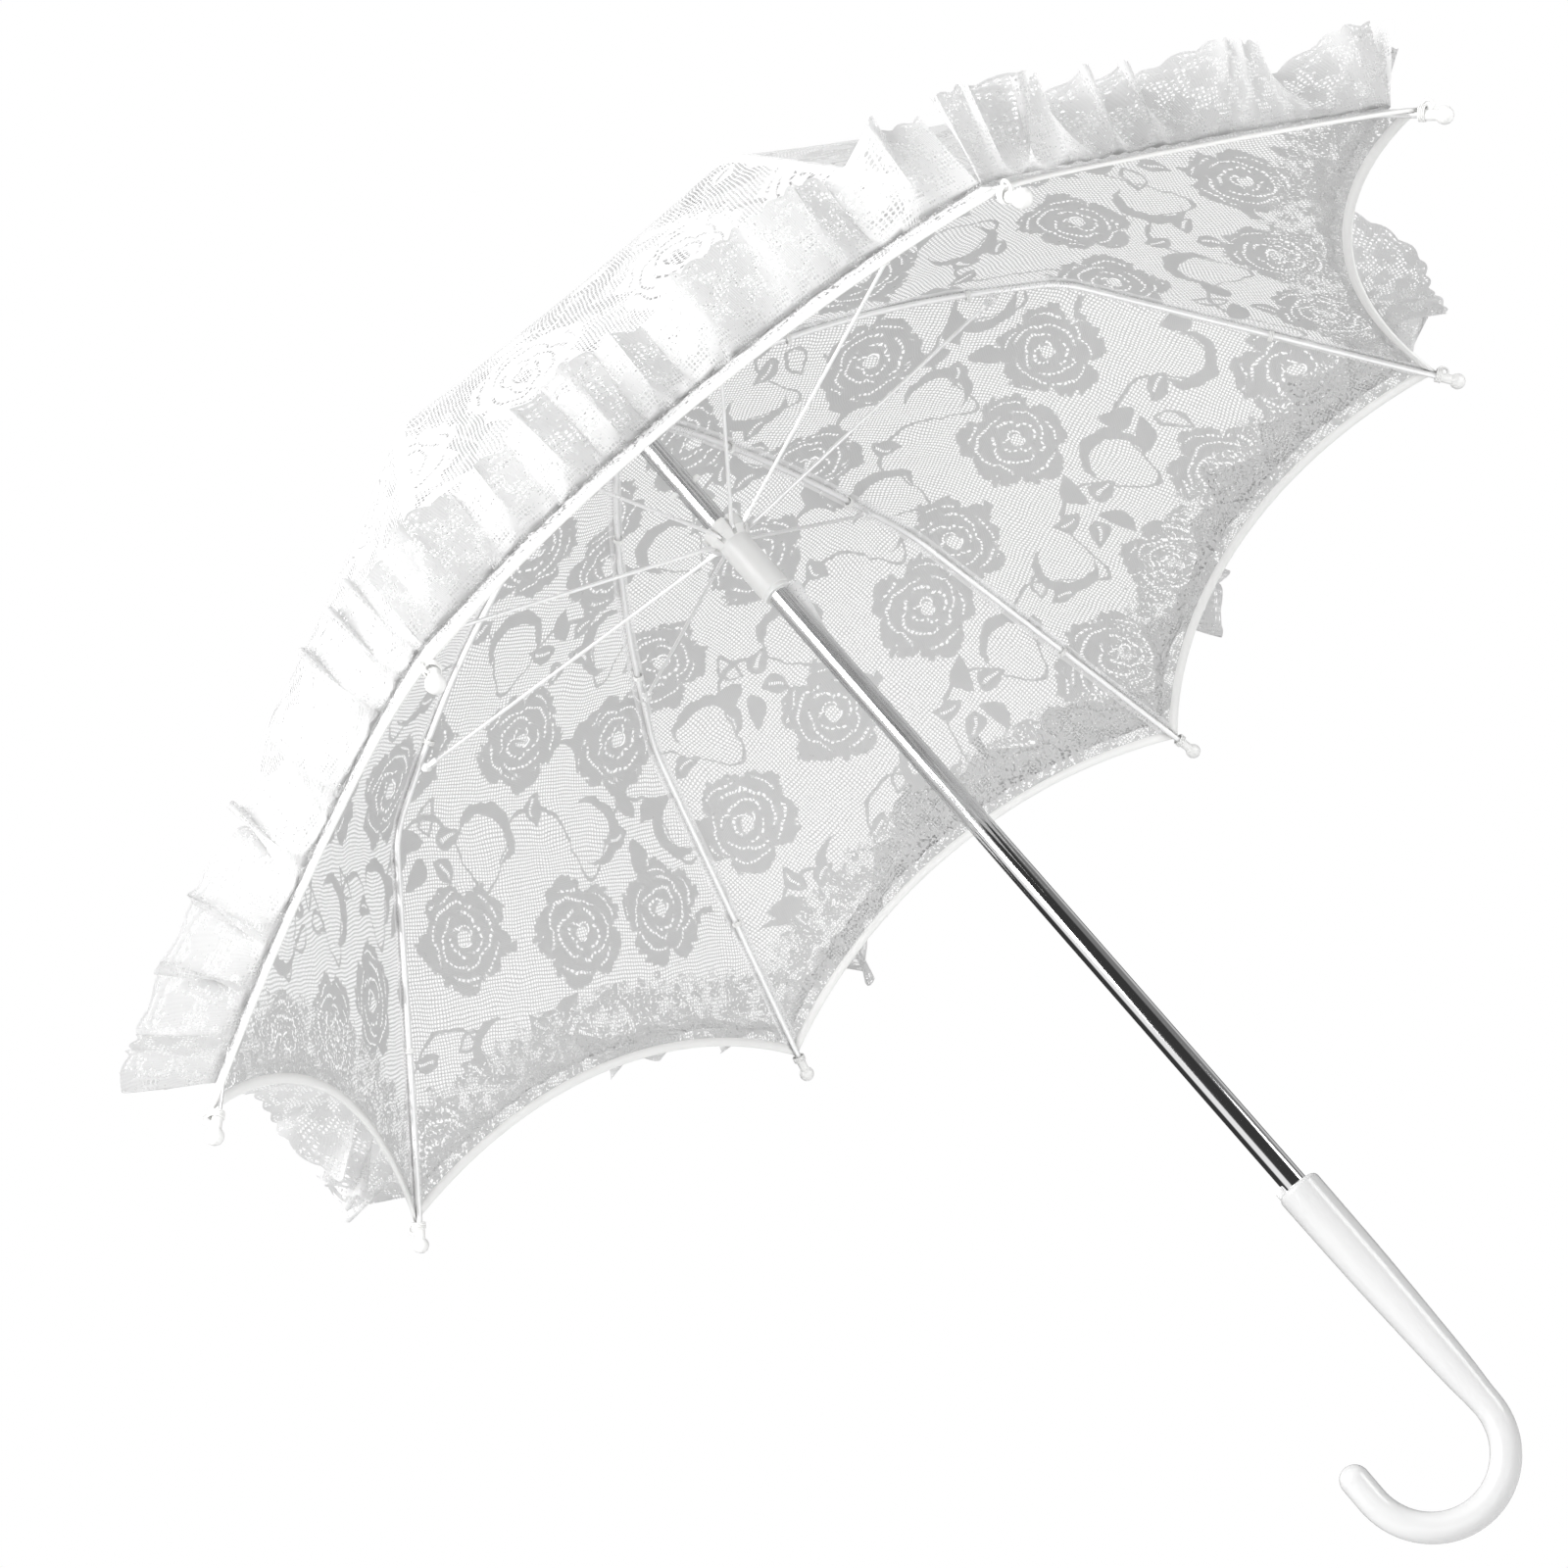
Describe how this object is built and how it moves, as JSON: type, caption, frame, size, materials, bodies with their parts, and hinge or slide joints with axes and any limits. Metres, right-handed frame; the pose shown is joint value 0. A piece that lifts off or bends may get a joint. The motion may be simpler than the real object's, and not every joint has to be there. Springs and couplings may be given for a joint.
{
  "type": "parasol",
  "caption": "Open lace parasol: sprung wire ribs and stretchers, sliding runner with a spring catch, chrome shaft, white hooked handle, gathered lace frill at the hem.",
  "frame": {"origin": "middle of the grip, on the shaft's axis", "axes": "+Z along the shaft from the grip to the spike; the handle's hook points to -X and the catch's button to +X"},
  "size_m": [0.6476, 0.6476, 0.6076],
  "materials": {
    "lace": "white cotton-look machine lace, roses and leaves on net",
    "shaft_chrome": "bright chrome plate",
    "frame_wire": "bright drawn wire",
    "white_handle": "glossy white moulding",
    "runner_plastic": "translucent white moulding",
    "clear_plastic": "clear moulding",
    "crown_plastic": "white moulding"
  },
  "bodies": {
    "root": {"shaft_tube": "shaft_chrome", "handle": "white_handle", "shaft_key": "clear_plastic", "crown_notch": "crown_plastic", "crown_ring_wire": "frame_wire", "crown_rosette": "lace", "ferrule": "white_handle", "stop_pin": "shaft_chrome", "catch_rivet": "frame_wire"},
    "runner": {"runner": "runner_plastic"},
    "spring_catch": {"spring_catch": "frame_wire"},
    "rib_1": {"rib_inner_1": "frame_wire"},
    "rib_end_1": {"rib_outer_1": "frame_wire", "rib_tip_1": "white_handle"},
    "stretcher_1": {"stretcher_1": "frame_wire"},
    "gore_1": {"canopy_inner_1": "lace"},
    "gore_hem_1": {"canopy_outer_1": "lace"},
    "rib_2": {"rib_inner_2": "frame_wire"},
    "rib_end_2": {"rib_outer_2": "frame_wire", "rib_tip_2": "white_handle"},
    "stretcher_2": {"stretcher_2": "frame_wire"},
    "gore_2": {"canopy_inner_2": "lace"},
    "gore_hem_2": {"canopy_outer_2": "lace"},
    "rib_3": {"rib_inner_3": "frame_wire"},
    "rib_end_3": {"rib_outer_3": "frame_wire", "rib_tip_3": "white_handle"},
    "stretcher_3": {"stretcher_3": "frame_wire"},
    "gore_3": {"canopy_inner_3": "lace"},
    "gore_hem_3": {"canopy_outer_3": "lace"},
    "rib_4": {"rib_inner_4": "frame_wire"},
    "rib_end_4": {"rib_outer_4": "frame_wire", "rib_tip_4": "white_handle"},
    "stretcher_4": {"stretcher_4": "frame_wire"},
    "gore_4": {"canopy_inner_4": "lace"},
    "gore_hem_4": {"canopy_outer_4": "lace"},
    "rib_5": {"rib_inner_5": "frame_wire"},
    "rib_end_5": {"rib_outer_5": "frame_wire", "rib_tip_5": "white_handle"},
    "stretcher_5": {"stretcher_5": "frame_wire"},
    "gore_5": {"canopy_inner_5": "lace"},
    "gore_hem_5": {"canopy_outer_5": "lace"},
    "rib_6": {"rib_inner_6": "frame_wire"},
    "rib_end_6": {"rib_outer_6": "frame_wire", "rib_tip_6": "white_handle"},
    "stretcher_6": {"stretcher_6": "frame_wire"},
    "gore_6": {"canopy_inner_6": "lace"},
    "gore_hem_6": {"canopy_outer_6": "lace"},
    "rib_7": {"rib_inner_7": "frame_wire"},
    "rib_end_7": {"rib_outer_7": "frame_wire", "rib_tip_7": "white_handle"},
    "stretcher_7": {"stretcher_7": "frame_wire"},
    "gore_7": {"canopy_inner_7": "lace"},
    "gore_hem_7": {"canopy_outer_7": "lace"},
    "rib_8": {"rib_inner_8": "frame_wire"},
    "rib_end_8": {"rib_outer_8": "frame_wire", "rib_tip_8": "white_handle"},
    "stretcher_8": {"stretcher_8": "frame_wire"},
    "gore_8": {"canopy_inner_8": "lace"},
    "gore_hem_8": {"canopy_outer_8": "lace"}
  },
  "joints": [
    {"name": "open_close", "type": "slide", "parent": "root", "child": "runner", "axis": [0, 0, -1], "range_m": [0, 0.26185], "deforming": ["spring_catch", "canopy_inner_1", "canopy_inner_2", "canopy_inner_3", "canopy_inner_4", "canopy_inner_5", "canopy_inner_6", "canopy_inner_7", "canopy_inner_8", "canopy_outer_1", "canopy_outer_2", "canopy_outer_3", "canopy_outer_4", "canopy_outer_5", "canopy_outer_6", "canopy_outer_7", "canopy_outer_8"]},
    {"name": "catch_press", "type": "hinge", "parent": "root", "child": "spring_catch", "pos_m": [0.0032, 0, 0.278], "axis": [0, -1, 0], "range_deg": [0, 3], "stiffness_Nm_per_rad": 0.2},
    {"name": "rib_fold_1", "type": "hinge", "parent": "root", "child": "rib_1", "pos_m": [0.00795, 0.00329, 0.487], "axis": [-0.3827, 0.9239, 0], "range_deg": [0, 71.87]},
    {"name": "rib_unbend_1", "type": "hinge", "parent": "rib_1", "child": "rib_end_1", "pos_m": [0.1905, 0.07891, 0.43868], "axis": [0.3827, -0.9239, 0], "range_deg": [0, 32.45]},
    {"name": "stretcher_swing_1", "type": "hinge", "parent": "rib_1", "child": "stretcher_1", "pos_m": [0.16111, 0.06673, 0.44834], "axis": [0.3827, -0.9239, 0], "range_deg": [0, 143.75]},
    {"name": "gore_fold_1", "type": "hinge", "parent": "root", "child": "gore_1", "pos_m": [0.00374, 0.00374, 0.48481], "axis": [-0.7071, 0.7071, 0], "range_deg": [0, 71.12]},
    {"name": "gore_unbend_1", "type": "hinge", "parent": "gore_1", "child": "gore_hem_1", "pos_m": [0.1351, 0.1351, 0.43937], "axis": [0.7071, -0.7071, 0], "range_deg": [0, 33.91]},
    {"name": "rib_fold_2", "type": "hinge", "parent": "root", "child": "rib_2", "pos_m": [0.00329, 0.00795, 0.487], "axis": [-0.9239, 0.3827, 0], "range_deg": [0, 71.87]},
    {"name": "rib_unbend_2", "type": "hinge", "parent": "rib_2", "child": "rib_end_2", "pos_m": [0.07891, 0.1905, 0.43868], "axis": [0.9239, -0.3827, 0], "range_deg": [0, 32.45]},
    {"name": "stretcher_swing_2", "type": "hinge", "parent": "rib_2", "child": "stretcher_2", "pos_m": [0.06673, 0.16111, 0.44834], "axis": [0.9239, -0.3827, 0], "range_deg": [0, 143.75]},
    {"name": "gore_fold_2", "type": "hinge", "parent": "root", "child": "gore_2", "pos_m": [0, 0.0053, 0.48481], "axis": [-1, 0, 0], "range_deg": [0, 71.12]},
    {"name": "gore_unbend_2", "type": "hinge", "parent": "gore_2", "child": "gore_hem_2", "pos_m": [0, 0.19106, 0.43937], "axis": [1, 0, 0], "range_deg": [0, 33.91]},
    {"name": "rib_fold_3", "type": "hinge", "parent": "root", "child": "rib_3", "pos_m": [-0.00329, 0.00795, 0.487], "axis": [-0.9239, -0.3827, 0], "range_deg": [0, 71.87]},
    {"name": "rib_unbend_3", "type": "hinge", "parent": "rib_3", "child": "rib_end_3", "pos_m": [-0.07891, 0.1905, 0.43868], "axis": [0.9239, 0.3827, 0], "range_deg": [0, 32.45]},
    {"name": "stretcher_swing_3", "type": "hinge", "parent": "rib_3", "child": "stretcher_3", "pos_m": [-0.06673, 0.16111, 0.44834], "axis": [0.9239, 0.3827, 0], "range_deg": [0, 143.75]},
    {"name": "gore_fold_3", "type": "hinge", "parent": "root", "child": "gore_3", "pos_m": [-0.00374, 0.00374, 0.48481], "axis": [-0.7071, -0.7071, 0], "range_deg": [0, 71.12]},
    {"name": "gore_unbend_3", "type": "hinge", "parent": "gore_3", "child": "gore_hem_3", "pos_m": [-0.1351, 0.1351, 0.43937], "axis": [0.7071, 0.7071, 0], "range_deg": [0, 33.91]},
    {"name": "rib_fold_4", "type": "hinge", "parent": "root", "child": "rib_4", "pos_m": [-0.00795, 0.00329, 0.487], "axis": [-0.3827, -0.9239, 0], "range_deg": [0, 71.87]},
    {"name": "rib_unbend_4", "type": "hinge", "parent": "rib_4", "child": "rib_end_4", "pos_m": [-0.1905, 0.07891, 0.43868], "axis": [0.3827, 0.9239, 0], "range_deg": [0, 32.45]},
    {"name": "stretcher_swing_4", "type": "hinge", "parent": "rib_4", "child": "stretcher_4", "pos_m": [-0.16111, 0.06673, 0.44834], "axis": [0.3827, 0.9239, 0], "range_deg": [0, 143.75]},
    {"name": "gore_fold_4", "type": "hinge", "parent": "root", "child": "gore_4", "pos_m": [-0.0053, 0, 0.48481], "axis": [0, -1, 0], "range_deg": [0, 71.12]},
    {"name": "gore_unbend_4", "type": "hinge", "parent": "gore_4", "child": "gore_hem_4", "pos_m": [-0.19106, 0, 0.43937], "axis": [0, 1, 0], "range_deg": [0, 33.91]},
    {"name": "rib_fold_5", "type": "hinge", "parent": "root", "child": "rib_5", "pos_m": [-0.00795, -0.00329, 0.487], "axis": [0.3827, -0.9239, 0], "range_deg": [0, 71.87]},
    {"name": "rib_unbend_5", "type": "hinge", "parent": "rib_5", "child": "rib_end_5", "pos_m": [-0.1905, -0.07891, 0.43868], "axis": [-0.3827, 0.9239, 0], "range_deg": [0, 32.45]},
    {"name": "stretcher_swing_5", "type": "hinge", "parent": "rib_5", "child": "stretcher_5", "pos_m": [-0.16111, -0.06673, 0.44834], "axis": [-0.3827, 0.9239, 0], "range_deg": [0, 143.75]},
    {"name": "gore_fold_5", "type": "hinge", "parent": "root", "child": "gore_5", "pos_m": [-0.00374, -0.00374, 0.48481], "axis": [0.7071, -0.7071, 0], "range_deg": [0, 71.12]},
    {"name": "gore_unbend_5", "type": "hinge", "parent": "gore_5", "child": "gore_hem_5", "pos_m": [-0.1351, -0.1351, 0.43937], "axis": [-0.7071, 0.7071, 0], "range_deg": [0, 33.91]},
    {"name": "rib_fold_6", "type": "hinge", "parent": "root", "child": "rib_6", "pos_m": [-0.00329, -0.00795, 0.487], "axis": [0.9239, -0.3827, 0], "range_deg": [0, 71.87]},
    {"name": "rib_unbend_6", "type": "hinge", "parent": "rib_6", "child": "rib_end_6", "pos_m": [-0.07891, -0.1905, 0.43868], "axis": [-0.9239, 0.3827, 0], "range_deg": [0, 32.45]},
    {"name": "stretcher_swing_6", "type": "hinge", "parent": "rib_6", "child": "stretcher_6", "pos_m": [-0.06673, -0.16111, 0.44834], "axis": [-0.9239, 0.3827, 0], "range_deg": [0, 143.75]},
    {"name": "gore_fold_6", "type": "hinge", "parent": "root", "child": "gore_6", "pos_m": [0, -0.0053, 0.48481], "axis": [1, 0, 0], "range_deg": [0, 71.12]},
    {"name": "gore_unbend_6", "type": "hinge", "parent": "gore_6", "child": "gore_hem_6", "pos_m": [0, -0.19106, 0.43937], "axis": [-1, 0, 0], "range_deg": [0, 33.91]},
    {"name": "rib_fold_7", "type": "hinge", "parent": "root", "child": "rib_7", "pos_m": [0.00329, -0.00795, 0.487], "axis": [0.9239, 0.3827, 0], "range_deg": [0, 71.87]},
    {"name": "rib_unbend_7", "type": "hinge", "parent": "rib_7", "child": "rib_end_7", "pos_m": [0.07891, -0.1905, 0.43868], "axis": [-0.9239, -0.3827, 0], "range_deg": [0, 32.45]},
    {"name": "stretcher_swing_7", "type": "hinge", "parent": "rib_7", "child": "stretcher_7", "pos_m": [0.06673, -0.16111, 0.44834], "axis": [-0.9239, -0.3827, 0], "range_deg": [0, 143.75]},
    {"name": "gore_fold_7", "type": "hinge", "parent": "root", "child": "gore_7", "pos_m": [0.00374, -0.00374, 0.48481], "axis": [0.7071, 0.7071, 0], "range_deg": [0, 71.12]},
    {"name": "gore_unbend_7", "type": "hinge", "parent": "gore_7", "child": "gore_hem_7", "pos_m": [0.1351, -0.1351, 0.43937], "axis": [-0.7071, -0.7071, 0], "range_deg": [0, 33.91]},
    {"name": "rib_fold_8", "type": "hinge", "parent": "root", "child": "rib_8", "pos_m": [0.00795, -0.00329, 0.487], "axis": [0.3827, 0.9239, 0], "range_deg": [0, 71.87]},
    {"name": "rib_unbend_8", "type": "hinge", "parent": "rib_8", "child": "rib_end_8", "pos_m": [0.1905, -0.07891, 0.43868], "axis": [-0.3827, -0.9239, 0], "range_deg": [0, 32.45]},
    {"name": "stretcher_swing_8", "type": "hinge", "parent": "rib_8", "child": "stretcher_8", "pos_m": [0.16111, -0.06673, 0.44834], "axis": [-0.3827, -0.9239, 0], "range_deg": [0, 143.75]},
    {"name": "gore_fold_8", "type": "hinge", "parent": "root", "child": "gore_8", "pos_m": [0.0053, 0, 0.48481], "axis": [0, 1, 0], "range_deg": [0, 71.12]},
    {"name": "gore_unbend_8", "type": "hinge", "parent": "gore_8", "child": "gore_hem_8", "pos_m": [0.19106, 0, 0.43937], "axis": [0, -1, 0], "range_deg": [0, 33.91]}
  ],
  "couplings": [
    {"joint": "rib_fold_1", "follows": "open_close", "rad_per_m": 4.7906},
    {"joint": "rib_unbend_1", "follows": "open_close", "rad_per_m": 2.163},
    {"joint": "stretcher_swing_1", "follows": "open_close", "rad_per_m": 9.5813},
    {"joint": "gore_fold_1", "follows": "open_close", "rad_per_m": 4.7405},
    {"joint": "gore_unbend_1", "follows": "open_close", "rad_per_m": 2.2601},
    {"joint": "rib_fold_2", "follows": "open_close", "rad_per_m": 4.7906},
    {"joint": "rib_unbend_2", "follows": "open_close", "rad_per_m": 2.163},
    {"joint": "stretcher_swing_2", "follows": "open_close", "rad_per_m": 9.5813},
    {"joint": "gore_fold_2", "follows": "open_close", "rad_per_m": 4.7405},
    {"joint": "gore_unbend_2", "follows": "open_close", "rad_per_m": 2.2601},
    {"joint": "rib_fold_3", "follows": "open_close", "rad_per_m": 4.7906},
    {"joint": "rib_unbend_3", "follows": "open_close", "rad_per_m": 2.163},
    {"joint": "stretcher_swing_3", "follows": "open_close", "rad_per_m": 9.5813},
    {"joint": "gore_fold_3", "follows": "open_close", "rad_per_m": 4.7405},
    {"joint": "gore_unbend_3", "follows": "open_close", "rad_per_m": 2.2601},
    {"joint": "rib_fold_4", "follows": "open_close", "rad_per_m": 4.7906},
    {"joint": "rib_unbend_4", "follows": "open_close", "rad_per_m": 2.163},
    {"joint": "stretcher_swing_4", "follows": "open_close", "rad_per_m": 9.5813},
    {"joint": "gore_fold_4", "follows": "open_close", "rad_per_m": 4.7405},
    {"joint": "gore_unbend_4", "follows": "open_close", "rad_per_m": 2.2601},
    {"joint": "rib_fold_5", "follows": "open_close", "rad_per_m": 4.7906},
    {"joint": "rib_unbend_5", "follows": "open_close", "rad_per_m": 2.163},
    {"joint": "stretcher_swing_5", "follows": "open_close", "rad_per_m": 9.5813},
    {"joint": "gore_fold_5", "follows": "open_close", "rad_per_m": 4.7405},
    {"joint": "gore_unbend_5", "follows": "open_close", "rad_per_m": 2.2601},
    {"joint": "rib_fold_6", "follows": "open_close", "rad_per_m": 4.7906},
    {"joint": "rib_unbend_6", "follows": "open_close", "rad_per_m": 2.163},
    {"joint": "stretcher_swing_6", "follows": "open_close", "rad_per_m": 9.5813},
    {"joint": "gore_fold_6", "follows": "open_close", "rad_per_m": 4.7405},
    {"joint": "gore_unbend_6", "follows": "open_close", "rad_per_m": 2.2601},
    {"joint": "rib_fold_7", "follows": "open_close", "rad_per_m": 4.7906},
    {"joint": "rib_unbend_7", "follows": "open_close", "rad_per_m": 2.163},
    {"joint": "stretcher_swing_7", "follows": "open_close", "rad_per_m": 9.5813},
    {"joint": "gore_fold_7", "follows": "open_close", "rad_per_m": 4.7405},
    {"joint": "gore_unbend_7", "follows": "open_close", "rad_per_m": 2.2601},
    {"joint": "rib_fold_8", "follows": "open_close", "rad_per_m": 4.7906},
    {"joint": "rib_unbend_8", "follows": "open_close", "rad_per_m": 2.163},
    {"joint": "stretcher_swing_8", "follows": "open_close", "rad_per_m": 9.5813},
    {"joint": "gore_fold_8", "follows": "open_close", "rad_per_m": 4.7405},
    {"joint": "gore_unbend_8", "follows": "open_close", "rad_per_m": 2.2601}
  ]
}
